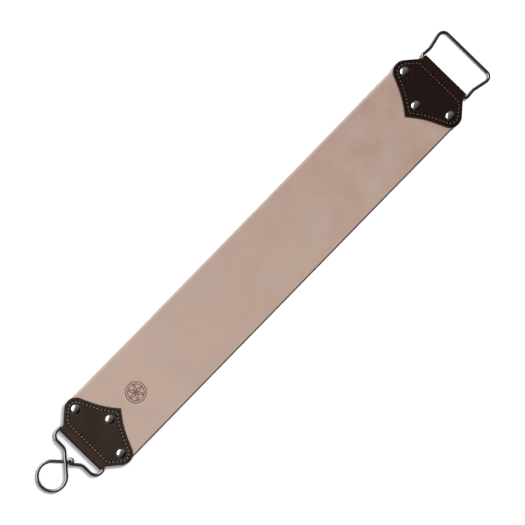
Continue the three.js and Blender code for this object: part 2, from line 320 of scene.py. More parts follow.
def sweep(stations, radii, sides):
    """Points and faces of a round bar along stations, with a radius at each of them and closed ends."""
    tangents = np.gradient(stations, axis=0)
    tangents /= np.linalg.norm(tangents, axis=1)[:, None]
    normal = np.cross(tangents[0], (0.0, 0.0, 1.0))
    if np.linalg.norm(normal) < NEARLY_PARALLEL:
        normal = np.cross(tangents[0], (0.0, 1.0, 0.0))
    points = []
    angles = np.arange(sides) * 2 * math.pi / sides
    for station, tangent, radius in zip(stations, tangents, radii):
        normal = normal - tangent * (normal @ tangent)
        normal /= np.linalg.norm(normal)
        side = np.cross(tangent, normal)
        ring = station + radius * (np.outer(np.cos(angles), normal) + np.outer(np.sin(angles), side))
        points.extend(ring)
    faces = []
    for k in range(len(stations) - 1):
        for i in range(sides):
            j = (i + 1) % sides
            faces.append((k * sides + i, k * sides + j, (k + 1) * sides + j, (k + 1) * sides + i))
    last = (len(stations) - 1) * sides
    faces.append(tuple(range(sides))[::-1])
    faces.append(tuple(range(last, last + sides)))
    return np.array(points), faces


# ---------- Tab outline, seam and fold, in the end frame ----------

FILLET_POINTS = 12
CURVE_POINTS = 60
SHORT_OF_FOLD = 0.01


def half_tab_outline():
    """From the neck at x = 0, over the +Y lobe, to the tip."""
    start = LOBE + LOBE_RADIUS * np.array([math.cos(LOBE_SHOULDER), math.sin(LOBE_SHOULDER)])
    neck_x = start[0] + (start[1] - NECK_HALF_WIDTH) * math.tan(LOBE_SHOULDER)
    neck = np.array([neck_x, NECK_HALF_WIDTH])
    up = neck + NECK_FILLET * np.array([-math.sin(LOBE_SHOULDER), math.cos(LOBE_SHOULDER)])
    fillet = [neck + (NECK_FILLET, 0), neck + (NECK_FILLET / 3, 0), neck + (up - neck) / 3, up]
    lobe = arc(LOBE, LOBE_RADIUS, np.linspace(LOBE_SHOULDER, LOBE_TIP_SIDE, CURVE_POINTS))
    edge = bezier([lobe[-1], *TIP_CURVE_CONTROLS, (TAB_TIP_X, 0.0)], CURVE_POINTS)
    points = np.vstack([bezier(fillet, FILLET_POINTS), lobe[:-1], edge])
    return points[points[:, 0] < -SHORT_OF_FOLD]


HALF_OUTLINE = half_tab_outline()
FLAP_OUTLINE = np.vstack([
    [(0.0, NECK_HALF_WIDTH)],
    HALF_OUTLINE,
    mirrored(HALF_OUTLINE)[1:],
    [(0.0, -NECK_HALF_WIDTH)],
])
SEAM = inset_points(even_loop(FLAP_OUTLINE, 0.4), SEAM_INSET)
SEAM = SEAM[SEAM[:, 0] < SEAM_ROW_X]
STITCH_HOLES = even_loop(SEAM, STITCH_PITCH)

# The fold is a half turn round the bar, and its length is measured along the middle of the leather.
FOLD_RADIUS = TAB_HALF - TAB_THICKNESS / 2
FOLD_LENGTH = math.pi * FOLD_RADIUS


def to_back(points):
    """Points of the front flap carried to the back flap of the unfolded strip."""
    return np.column_stack([FOLD_LENGTH - points[:, 0], points[:, 1]])


def flap_position(points):
    """Where points of the unfolded strip lie on their own flap; the fold itself gives x = 0."""
    x = np.where(points[:, 0] < FOLD_LENGTH / 2, points[:, 0], FOLD_LENGTH - points[:, 0])
    return np.column_stack([np.minimum(x, 0), points[:, 1]])


def fold_strip(points, offset):
    """The unfolded strip wrapped round the swing axis; offset is measured outward from mid-leather."""
    x = points[:, 0]
    angle = np.clip(x, 0, FOLD_LENGTH) / FOLD_RADIUS
    reach = FOLD_RADIUS + offset
    overrun = np.where(x < 0, x, np.where(x > FOLD_LENGTH, x - FOLD_LENGTH, 0))
    across = reach * np.sin(angle) + overrun * np.cos(angle)
    return np.column_stack([across, points[:, 1], reach * np.cos(angle)])


def to_world(points, end):
    """End-frame millimetres to the row frame's, for HANDLE_END or HOOK_END."""
    turned = points * (end, end, 1)
    return turned + (STRAP_MIDDLE_X + end * BAR_X, 0, BAR_Z)


# ---------- Leather relief ----------

WAVES = 6


def edge_drop(distance, radius):
    """How far a rounded edge has dropped, at a distance inward from the cut wall."""
    inward = np.clip(radius - distance, 0, radius)
    return radius - np.sqrt(radius**2 - inward**2)


def groove(gap, width):
    """A soft-sided line: 1 where the gap is 0, and almost 0 from twice the width."""
    return np.exp(-((gap / width) ** 2))


def gentle_wave(points, wavelength, height, seed):
    """A soft undulation from a few plane waves."""
    rng = np.random.default_rng(seed)
    total = np.zeros(len(points))
    for _ in range(WAVES):
        angle, phase = rng.uniform(0, 2 * math.pi, 2)
        length = wavelength * rng.uniform(0.7, 1.6)
        direction = np.array([math.cos(angle), math.sin(angle)])
        total += np.sin(2 * math.pi * (points @ direction) / length + phase)
    return total * height / WAVES


def bumps(points, centres, radius, height):
    """One soft bump at each centre, added up."""
    total = np.zeros(len(points))
    for centre in centres:
        gap = np.sum((points - centre) ** 2, axis=1)
        total += height * np.exp(-gap / radius**2)
    return total


# ---------- Tabs ----------

TAB_OUTLINE_SPACING = 0.55
TAB_TOP_EDGE_RADIUS = 0.6
TAB_INSIDE_EDGE_RADIUS = 0.2
TAB_EDGE_REACH = 0.45
TAB_WAVELENGTH = 14
TAB_WAVE_HEIGHT = 0.07

SEAM_GROOVE_DEPTH, SEAM_GROOVE_WIDTH = 0.28, 0.62
SEAM_RIDGE_HEIGHT, SEAM_RIDGE_WIDTH, SEAM_RIDGE_OFFSET = 0.05, 0.5, 1.5
STITCH_HOLE_DEPTH = 0.85
DIMPLE_DEPTH, DIMPLE_RADIUS, DIMPLE_SOFTNESS = 0.2, 5.0, 0.35
DIMPLE_LIP_HEIGHT, DIMPLE_LIP_WIDTH, DIMPLE_LIP_RADIUS = 0.06, 0.9, 6.2

# A painted highlight ring round each rivet, standing in for the shine on its dimple's far wall.
RING_HIGHLIGHT_RADIUS = 5.2
RING_HIGHLIGHT_WIDTH = 0.4
FOLD_WEAR_START_X = SEAM_ROW_X + 1
FOLD_WEAR_FADE = 2
# Painted shade along the fold's turn: where it starts and how fast it comes in.
FOLD_SHADE_X = 1.9
FOLD_SHADE_FADE = 0.8


def tab_relief(points, seed):
    """Height of the tab's outer surface over its flat thickness: seam groove, stitch holes, dimples."""
    flap = flap_position(points)
    on_flap = (points[:, 0] < 0) | (points[:, 0] > FOLD_LENGTH)
    seam_gap = distance_to_loop(flap, SEAM)
    relief = -SEAM_GROOVE_DEPTH * groove(seam_gap, SEAM_GROOVE_WIDTH)
    relief += SEAM_RIDGE_HEIGHT * groove(seam_gap - SEAM_RIDGE_OFFSET, SEAM_RIDGE_WIDTH)
    relief -= bumps(flap, STITCH_HOLES, HOLE_RADIUS, STITCH_HOLE_DEPTH)
    for rivet in RIVET_PLACES.values():
        gap = np.linalg.norm(flap - rivet, axis=1)
        relief -= DIMPLE_DEPTH / (1 + np.exp((gap - DIMPLE_RADIUS) / DIMPLE_SOFTNESS))
        relief += DIMPLE_LIP_HEIGHT * groove(gap - DIMPLE_LIP_RADIUS, DIMPLE_LIP_WIDTH)
    return np.where(on_flap, relief, 0) + gentle_wave(points, TAB_WAVELENGTH, TAB_WAVE_HEIGHT, seed)


def plan_in_end_frame(piece, end):
    """Where each point of a finished tab lies in its end frame, seen from above."""
    world = np.array([tuple(v.co) for v in piece.data.vertices]) / MM
    return (world[:, :2] - (STRAP_MIDDLE_X + end * BAR_X, 0)) * end


def ring_highlights(points):
    """Share, 0 to 1, of the painted highlight ring round each rivet, standing in for the shine on its
    dimple's wall.
    """
    rings = [groove(np.linalg.norm(points - rivet, axis=1) - RING_HIGHLIGHT_RADIUS, RING_HIGHLIGHT_WIDTH)
             for rivet in RIVET_PLACES.values()]
    return np.max(rings, axis=0)


def tab_detail_points(outline):
    """Points of the triangulation, close together at the cut, the seam, the holes and the fold."""
    edge_insets = (0.1, 0.22, 0.4, 0.65, 1.1, 1.7, 2.3)
    seam_offsets = (-1.9, -1.4, -1, -0.7, -0.35, 0, 0.35, 0.7, 1, 1.4, 1.9)
    stitch_hole_radii = (0.01, 0.22, 0.44, 0.66, 0.9)
    rivet_radii = (2.5, 3.3, 4.0, 4.4, 4.8, 5.2, 5.6, 6.2, 7.0)
    flap_detail = [along_loop(even_loop(SEAM, 0.45), seam_offsets)]
    flap_detail += [around(hole, stitch_hole_radii, 0.32) for hole in STITCH_HOLES]
    flap_detail += [around(rivet, rivet_radii, 0.8) for rivet in RIVET_PLACES.values()]
    flap_points = np.vstack(flap_detail)
    detail = [inset_points(outline, inset) for inset in edge_insets]
    detail += [flap_points, to_back(flap_points)]
    detail.append(grid((-0.4, -NECK_HALF_WIDTH), (FOLD_LENGTH + 0.4, NECK_HALF_WIDTH), 0.5, 0))
    fill = grid((TAB_TIP_X, -TAB_HIGH[1]), (0, TAB_HIGH[1]), 1.3)
    detail += [fill, to_back(fill)]
    return thinned(np.vstack(detail), 0.16)


def add_tab_wear_and_shading(piece, end):
    """Shares, 0 to 1, for the material: painted shade in the stitch holes, a painted highlight ring round
    each rivet, wear over the fold, and painted shade along the fold's turn.
    """
    seen = plan_in_end_frame(piece, end)
    # Painted shade in the stitch holes.
    add_attribute(piece, "hole_shade", np.minimum(bumps(seen, STITCH_HOLES, HOLE_RADIUS, 1.0), 1))
    # A painted highlight ring round each rivet.
    add_attribute(piece, "ring", ring_highlights(seen))
    add_attribute(piece, "fold", np.clip((seen[:, 0] - FOLD_WEAR_START_X) / FOLD_WEAR_FADE, 0, 1))
    # Painted shade along the fold's turn.
    add_attribute(piece, "fold_shade", np.clip((seen[:, 0] - FOLD_SHADE_X) / FOLD_SHADE_FADE, 0, 1))


def folded_tab(end_name, end, seed, materials):
    """One strip of leather folded round a wire's bar, its two flaps alike."""
    back = to_back(FLAP_OUTLINE)[::-1]
    outline = even_loop(np.vstack([FLAP_OUTLINE, back]), TAB_OUTLINE_SPACING)
    points = tab_detail_points(outline)
    holes = []
    for rivet in RIVET_PLACES.values():
        hole = circle(rivet, RIVET_HOLE_RADIUS, 32)
        holes += [hole, to_back(hole)[::-1]]

    def outer(flat):
        drop = edge_drop(distance_to_loop(flat, outline), TAB_TOP_EDGE_RADIUS)
        return TAB_THICKNESS / 2 - drop + tab_relief(flat, seed)

    def inner(flat):
        return -TAB_THICKNESS / 2 + edge_drop(distance_to_loop(flat, outline), TAB_INSIDE_EDGE_RADIUS)

    def place(flat, offset):
        return to_world(fold_strip(flat, offset), end)

    name = f"{end_name}_tab_leather"
    piece = leather_sheet(name, outline, holes, points, outer, inner, place, materials, TAB_EDGE_REACH)
    add_tab_wear_and_shading(piece, end)
    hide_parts(f"{end_name}_tab")
    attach(piece, "leather")


# ---------- Strap ----------

# The strap rises over RISE_LENGTH, and is level with the bars from RISE_CLEARANCE before a tab's tip.
RISE_LENGTH = 60
RISE_CLEARANCE = 4
RISE_END = BAR_X + TAB_TIP_X - RISE_CLEARANCE
RISE_START = RISE_END - RISE_LENGTH

STRAP_OUTLINE_SPACING = 1.2
STRAP_TOP_EDGE_RADIUS = 1.25
STRAP_UNDER_EDGE_RADIUS = 0.9
STRAP_EDGE_REACH = 1.2
STRAP_END_INSET = 0.6

# Wavelength, height and seed of the strap's two undulations.
STRAP_SWELL = (60, 0.1, 3)
STRAP_RIPPLE = (17, 0.03, 4)

MARK_CENTRE = np.array([-160.7, 0.5])
MARK_RADIUS = 9.3
MARK_MARGIN = 0.8
MARK_LINE = 0.44
MARK_DEPTH = 0.3
ROSETTE_RADIUS = 7.4
PETALS = 6


def strap_height(x):
    """Height of mid-leather: the strap lies flat and rises near each end into its tab."""
    share = np.clip((np.abs(x) - RISE_START) / (RISE_END - RISE_START), 0, 1)
    smooth = share * share * (3 - 2 * share)
    return STRAP_THICKNESS / 2 + smooth * (BAR_Z - STRAP_THICKNESS / 2)


def stamped_mark(points):
    """Depth share, 0 to 1, of a plain compass-drawn rosette: a double ring and six petals."""
    local = points - MARK_CENTRE
    radius = np.linalg.norm(local, axis=1)
    mark = np.maximum(groove(radius - MARK_RADIUS, MARK_LINE), groove(radius - ROSETTE_RADIUS, MARK_LINE))
    for angle in np.arange(PETALS) * 2 * math.pi / PETALS:
        centre = ROSETTE_RADIUS * np.array([math.cos(angle), math.sin(angle)])
        gap = np.linalg.norm(local - centre, axis=1) - ROSETTE_RADIUS
        mark = np.maximum(mark, groove(gap, MARK_LINE) * (radius < ROSETTE_RADIUS))
    return mark


def strap_outline():
    """Full width to the lobes, then cut to the tab's outline, a little smaller, up to the bars."""
    inset = inset_points(even_loop(FLAP_OUTLINE, 0.5), STRAP_END_INSET)
    shoulder = inset[(inset[:, 0] > LOBE[0]) & (inset[:, 1] > 0)]
    shoulder = shoulder[shoulder[:, 0] < STRAP_END_X - BAR_X]
    shoulder[:, 1] = np.minimum(shoulder[:, 1], STRAP_HALF_WIDTH)
    shoulder = shoulder[np.argsort(-shoulder[:, 0])] + (BAR_X, 0)
    end_corner = (STRAP_END_X, shoulder[0, 1])
    full_width = (BAR_X + LOBE[0] - 1, STRAP_HALF_WIDTH)
    end = np.vstack([[end_corner], shoulder, [full_width]])
    upper = np.vstack([end, (end * (-1, 1))[::-1]])
    return np.vstack([upper, mirrored(upper)])


def strap_detail_points(outline):
    """Points of the triangulation, close together at the cut and over the stamped mark."""
    edge_insets = (0.15, 0.35, 0.6, 0.95, 1.3, 1.8, 2.6)
    detail = [inset_points(outline, inset) for inset in edge_insets]
    detail.append(grid((-STRAP_END_X, -STRAP_HALF_WIDTH), (STRAP_END_X, STRAP_HALF_WIDTH), 2.6))
    low = MARK_CENTRE - MARK_RADIUS - MARK_MARGIN
    high = MARK_CENTRE + MARK_RADIUS + MARK_MARGIN
    fine = grid(low, high, 0.21, 0)
    detail.append(fine[np.linalg.norm(fine - MARK_CENTRE, axis=1) < MARK_RADIUS + MARK_MARGIN])
    return thinned(np.vstack(detail), 0.15)


def strap_leather(materials):
    """The strap from bar to bar, with its rivet holes and the mark."""
    outline = even_loop(strap_outline(), STRAP_OUTLINE_SPACING)
    points = strap_detail_points(outline)
    holes = []
    for end in (HANDLE_END, HOOK_END):
        for rivet in RIVET_PLACES.values():
            holes.append(circle((end * (BAR_X + rivet[0]), end * rivet[1]), RIVET_HOLE_RADIUS, 24))

    def outer(flat):
        drop = edge_drop(distance_to_loop(flat, outline), STRAP_TOP_EDGE_RADIUS)
        relief = gentle_wave(flat, *STRAP_SWELL) + gentle_wave(flat, *STRAP_RIPPLE)
        return STRAP_THICKNESS / 2 - drop + relief - MARK_DEPTH * stamped_mark(flat)

    def inner(flat):
        return -STRAP_THICKNESS / 2 + edge_drop(distance_to_loop(flat, outline), STRAP_UNDER_EDGE_RADIUS)

    def place(flat, offset):
        height = strap_height(flat[:, 0]) + offset
        return np.column_stack([flat[:, 0] + STRAP_MIDDLE_X, flat[:, 1], height])

    name = "strap_leather"
    piece = leather_sheet(name, outline, holes, points, outer, inner, place, materials, STRAP_EDGE_REACH)
    flat = np.array([tuple(v.co) for v in piece.data.vertices]) / MM
    stamp = stamped_mark(flat[:, :2] - (STRAP_MIDDLE_X, 0)) * (flat[:, 2] > STRAP_THICKNESS / 2)
    add_attribute(piece, "stamp", stamp)
    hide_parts("strap")
    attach(piece, "leather")


# ---------- Seam thread ----------

THREAD_SIDES = 10
STITCH_SWELL = 0.12

# One stitch: shares of the way from hole to hole, and heights over the leather's own surface there.
STITCH_SHARES = np.array([0.28, 0.29, 0.32, 0.37, 0.43, 0.5, 0.57, 0.63, 0.68, 0.71, 0.72])
STITCH_HEIGHTS = np.array([-1.1, -0.75, -0.38, -0.1, 0.08, 0.15, 0.08, -0.1, -0.38, -0.75, -1.1])


def stitch_line(a, b):
    """Flat points of one stitch from hole a to hole b, a little aslant to the seam."""
    along = b - a
    side = np.array([-along[1], along[0]]) / np.linalg.norm(along)
    slant = STITCH_SLANT * (STITCH_SHARES - 0.5) * 2
    return a + STITCH_SHARES[:, None] * along + slant[:, None] * side


def seam_stitches(end_name, end, face, material):
    """Every stitch of one seam; face is "top" or "under"."""
    points = []
    faces = []
    swell = 1 + STITCH_SWELL * np.sin(np.linspace(0, math.pi, len(STITCH_SHARES)))
    for a, b in zip(STITCH_HOLES, np.roll(STITCH_HOLES, -1, axis=0)):
        flat = stitch_line(a, b)
        if face == "under":
            flat = to_back(flat)
        stations = to_world(fold_strip(flat, TAB_THICKNESS / 2 + STITCH_HEIGHTS), end)
        bar_points, bar_faces = sweep(stations, THREAD_RADIUS * swell, THREAD_SIDES)
        faces += [tuple(i + len(points) for i in f) for f in bar_faces]
        points += list(bar_points)
    piece = new_piece(f"{end_name}_{face}_stitches", np.array(points) * MM, faces, [material])
    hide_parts(f"{end_name}_{face}_thread")
    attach(piece, "leather")


# ---------- Rivets ----------

SEAT_GAP = 0.05
CAP_RIM = 0.32
DOME_STEPS = 14
DOME_SHOULDER = math.radians(20)
DOME_SHARE_OF_CAP = 0.985
TUBE_RADIUS = 1.8
TUBE_BORE_RADIUS = 1.2
TUBE_END = -2.9
POST_RADIUS = 0.9
POST_END = 2.9


def cap_dome(foot):
    """The upper curve of a cap, from its foot to the middle of its top."""
    dome = []
    for i in range(DOME_STEPS + 1):
        angle = DOME_SHOULDER + (math.pi / 2 - DOME_SHOULDER) * i / DOME_STEPS
        radius = CAP_RADIUS * math.cos(angle) / math.cos(DOME_SHOULDER) * DOME_SHARE_OF_CAP
        rise = (math.sin(angle) - math.sin(DOME_SHOULDER)) / (1 - math.sin(DOME_SHOULDER))
        dome.append((radius if i < DOME_STEPS else 0.0, foot + (CAP_TOP - foot) * rise))
    return dome


def rivet_cap_profile():
    """A thin domed cap with a rolled rim, and its tube down through the leather."""
    under = TAB_HALF + SEAT_GAP
    tube = [
        (0.0, under + 0.2),
        (TUBE_BORE_RADIUS, under + 0.2),
        (TUBE_BORE_RADIUS, TUBE_END),
        (TUBE_RADIUS, TUBE_END),
        (TUBE_RADIUS, under),
    ]
    rim = [
        (CAP_RADIUS - 0.3, under),
        (CAP_RADIUS - 0.08, under + 0.06),
        (CAP_RADIUS, under + 0.18),
        (CAP_RADIUS - 0.03, under + 0.27),
    ]
    return tube + rim + cap_dome(under + CAP_RIM)


def rivet_head_profile():
    """A flat head with a shallow hollow, and its post up into the cap's tube."""
    low = HEAD_LOW[2] - BAR_Z
    hollow = [(0.0, low + 0.16), (1.0, low + 0.15), (1.35, low + 0.02), (1.6, low)]
    rim = [
        (HEAD_RADIUS - 0.7, low),
        (HEAD_RADIUS - 0.2, low + 0.1),
        (HEAD_RADIUS, low + 0.3),
        (HEAD_RADIUS - 0.1, -TAB_HALF - SEAT_GAP),
    ]
    post = [(POST_RADIUS, -TAB_HALF - SEAT_GAP), (POST_RADIUS, POST_END), (0.0, POST_END)]
    return hollow + rim + post


def rivets(end_name, end, material):
    """The three rivets of one tab, each a cap and the post pressed into it."""
    for place, (x, y) in RIVET_PLACES.items():
        centre = to_world(np.array([[x, y, 0.0]]), end)[0]
        cap = lathe(f"{end_name}_{place}_cap", rivet_cap_profile(), centre, material)
        head = lathe(f"{end_name}_{place}_head", rivet_head_profile(), centre, material)
        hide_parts(f"{end_name}_{place}_rivet_cap")
        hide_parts(f"{end_name}_{place}_rivet_post")
        for piece in (cap, head):
            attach(piece, "leather")


# ---------- Wires: routes in the end frame, as corners (x, y, z, bend radius) ----------

BEND_STEP = math.radians(5)
SHORTEST_STEP = 0.05
LONGEST_STEP = 1.2
CUT_BEVEL = 0.35
CUT_STEPS = (0.04, 0.12, 0.24, 0.4)
WIRE_SIDES = 28
MOUTH_BEND = 2.6

# From the bar's middle down to where a wire rests just over the floor.
WIRE_DROP = BAR_Z - WIRE_RADIUS - FLOOR_GAP

HANDLE_LENGTH = 30.5
HANDLE_TILT = math.asin(WIRE_DROP / HANDLE_LENGTH)

RING_X, RING_Y, RING_RADIUS = 36.8, -1.95, 13.2
RING_CORNERS = 4
RING_END_X, RING_END_Y = 15.2, 2.6
CROSSING_X = 19.2
CROSSING_RISE = 2 * WIRE_RADIUS + 0.3 - WIRE_DROP
HOOK_LEG_X = 11.0
HOOK_LEG_BEND = 7.0
HOOK_STRAND_BEND = 8.0
HOOK_SHOULDER_Y = 27.0
EYE_X, EYE_Y, EYE_RADIUS, EYE_CLIMB = 15.3, 0.6, 1.75, 2.7


def spread(stations, longest):
    """Stations with extra ones in the long straight stretches, and none where two bends meet."""
    full = [stations[0]]
    for station in stations[1:]:
        last = full[-1]
        length = np.linalg.norm(station - last)
        if length < SHORTEST_STEP:
            continue
        count = math.ceil(length / longest)
        full += [last + (station - last) * k / count for k in range(1, count + 1)]
    return np.array(full)


def bend_stations(before, corner, after, bend):
    """Stations round one bend, from the corner point of the route and its two neighbours."""
    back = (before - corner) / np.linalg.norm(before - corner)
    ahead = (after - corner) / np.linalg.norm(after - corner)
    half_corner = math.acos(np.clip(back @ ahead, -1, 1)) / 2
    turn = math.pi - 2 * half_corner
    inward = (back + ahead) / np.linalg.norm(back + ahead)
    centre = corner + inward * bend / math.sin(half_corner)
    spoke = corner + back * bend / math.tan(half_corner) - centre
    axis = Vector(np.cross(ahead, back)).normalized()
    steps = max(2, math.ceil(turn / BEND_STEP))
    turns = [Matrix.Rotation(turn * k / steps, 3, axis) for k in range(steps + 1)]
    return [centre + np.array(rotation @ Vector(spoke)) for rotation in turns]


def bent_route(corners):
    """Stations of a wire bent at each corner of its route but the first and last."""
    points = [np.array(c[:3], float) for c in corners]
    stations = [points[0]]
    for i in range(1, len(corners) - 1):
        stations += bend_stations(points[i - 1], points[i], points[i + 1], corners[i][3])
    stations.append(points[-1])
    return spread(stations, LONGEST_STEP)


def bar_radii(stations):
    """The wire's radius at each station, with its two cut ends rounded off."""
    lengths = np.concatenate([[0], np.cumsum(np.linalg.norm(np.diff(stations, axis=0), axis=1))])
    from_end = np.minimum(lengths, lengths[-1] - lengths)
    inward = np.clip(CUT_BEVEL - from_end, 0, CUT_BEVEL)
    return WIRE_RADIUS - CUT_BEVEL + np.sqrt(CUT_BEVEL**2 - inward**2)


def with_round_ends(stations):
    """Closely spaced extra stations at both ends, for the rounded cuts."""
    first, last = stations[0], stations[-1]
    start = (stations[1] - first) / np.linalg.norm(stations[1] - first)
    finish = (stations[-2] - last) / np.linalg.norm(stations[-2] - last)
    near = np.array(CUT_STEPS)[:, None]
    return np.vstack([[first], first + near * start, stations[1:-1], (last + near * finish)[::-1], [last]])


def wire_piece(name, route, end, tilt, body, node, material):
    """A wire along its route, tilted down about the bar by an angle."""
    stations = with_round_ends(bent_route(route))
    stations = stations @ np.array(Matrix.Rotation(tilt, 3, "Y")).T
    stations = to_world(stations, end)
    points, faces = sweep(stations, bar_radii(stations), WIRE_SIDES)
    piece = new_piece(name, points * MM, faces, [material])
    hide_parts(node)
    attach(piece, body)


def handle_route():
    """One wire bent into a D, its two ends butted inside the tunnel."""
    half = [
        (0, 27.5, 0, MOUTH_BEND),
        (10.8, 26.5, 0, 15),
        (HANDLE_LENGTH, 30.9, 0, 5.3),
    ]
    other_half = [(x, -y, z, bend) for x, y, z, bend in reversed(half)]
    return [(0, 0.4, 0), *half, *other_half, (0, -0.4, 0)]


def ring_corners(strand_angle):
    """The hanging ring, sinking from the crossing to the floor as it goes round."""
    first = math.pi / 2 + strand_angle
    turn = 2 * first / RING_CORNERS
    reach = RING_RADIUS / math.cos(turn / 2)
    corners = []
    for i in range(RING_CORNERS):
        angle = first - (i + 0.5) * turn
        x = RING_X + reach * math.cos(angle)
        y = RING_Y + reach * math.sin(angle)
        z = CROSSING_RISE - (CROSSING_RISE + WIRE_DROP) * i / (RING_CORNERS - 1)
        corners.append((x, y, z, RING_RADIUS))
    return corners


def eye_corners():
    """The curled fixed end, wound upward so that it passes over its own strand."""
    near_x, far_x = EYE_X - EYE_RADIUS, EYE_X + EYE_RADIUS
    low_y, high_y = EYE_Y - EYE_RADIUS, EYE_Y + EYE_RADIUS
    return [
        (EYE_X, high_y, CROSSING_RISE + EYE_CLIMB),
        (near_x, high_y, CROSSING_RISE + 0.6 * EYE_CLIMB, EYE_RADIUS),
        (near_x, low_y, CROSSING_RISE + 0.2 * EYE_CLIMB, EYE_RADIUS),
        (far_x, low_y, CROSSING_RISE, EYE_RADIUS),
        (far_x, 3, CROSSING_RISE, 5),
    ]


def hook_route():
    """One spring wire: curled eye, two legs joined by the bar in the tunnel, and the hanging ring."""
    strand_angle = math.asin(RING_RADIUS / (RING_X - CROSSING_X))
    strand_y = RING_Y - (CROSSING_X - HOOK_LEG_X) * math.tan(strand_angle)
    return [
        *eye_corners(),
        (HOOK_LEG_X, 10.2, 0, HOOK_STRAND_BEND),
        (HOOK_LEG_X, HOOK_SHOULDER_Y, 0, HOOK_LEG_BEND),
        (0, HOOK_SHOULDER_Y, 0, MOUTH_BEND),
        (0, -HOOK_SHOULDER_Y, 0, MOUTH_BEND),
        (HOOK_LEG_X, -HOOK_SHOULDER_Y, 0, HOOK_LEG_BEND),
        (HOOK_LEG_X, strand_y, CROSSING_RISE, HOOK_STRAND_BEND),
        *ring_corners(strand_angle),
        (RING_END_X, RING_END_Y, -WIRE_DROP),
    ]


# ---------- Materials ----------

# Colours are linear red, green and blue.
STRAP_NEAR_HOOK = (0.470, 0.342, 0.285)
STRAP_NEAR_HANDLE = (0.305, 0.200, 0.162)
STRAP_GREY_CLOUD = (0.385, 0.298, 0.250)
STRAP_PINK_PATCH = (0.455, 0.335, 0.285)
STRAP_PORE = (0.30, 0.21, 0.165)
# Painted highlight for the strap's +Y edge and wall, the side that faces the light.
STRAP_EDGE_HIGHLIGHT = (0.63, 0.53, 0.49)
STRAP_WALL_HIGHLIGHT = (0.66, 0.55, 0.50)
# Painted shade for the strap's -Y edge and wall, with some painted contact shadow.
STRAP_EDGE_SHADE = (0.055, 0.036, 0.028)
STRAP_STAMP = (0.115, 0.052, 0.037)
FLESH_PALE = (0.46, 0.34, 0.26)
FLESH_TAN = (0.40, 0.285, 0.21)
FLESH_FIBRE = (0.31, 0.205, 0.145)
TAB_FLESH_DARK = (0.028, 0.015, 0.011)
TAB_FLESH_LIGHT = (0.065, 0.038, 0.028)
# Painted shade for the dark line where the leather turns down over the fold.
TAB_FOLD_SHADE = (0.004, 0.0025, 0.002)
# Painted shade for the inside of the stitch holes.
TAB_HOLE_SHADE = (0.002, 0.0015, 0.0015)
WIRE_DARK = (0.33, 0.327, 0.32)
WIRE_LIGHT = (0.42, 0.416, 0.41)
RIVET_DARK = (0.78, 0.80, 0.79)
RIVET_LIGHT = (0.92, 0.93, 0.92)
FLOOR_DARK = (0.93, 0.93, 0.93)
FLOOR_LIGHT = (0.95, 0.95, 0.95)

# Each end's dark and light tones of leather and thread, and the seed of its tab's undulation.
HOOK_TAB = {
    "leather": ((0.0205, 0.0127, 0.0095), (0.0275, 0.0180, 0.0135)),
    "thread": ((0.105, 0.079, 0.068), (0.200, 0.158, 0.137)),
    "seed": 11,
}
HANDLE_TAB = {
    "leather": ((0.0070, 0.0032, 0.0025), (0.0100, 0.0048, 0.0039)),
    "thread": ((0.048, 0.032, 0.029), (0.112, 0.081, 0.072)),
    "seed": 13,
}

# Along the strap, where its colour starts and ends its change from hook to handle.
TONE_START_X, TONE_END_X = -0.19, 0.21
# The painted shade on the -Y side and the painted highlight on the +Y side start at the strap's middle line
# and are full this far from it.
SIDE_FADE = 0.01


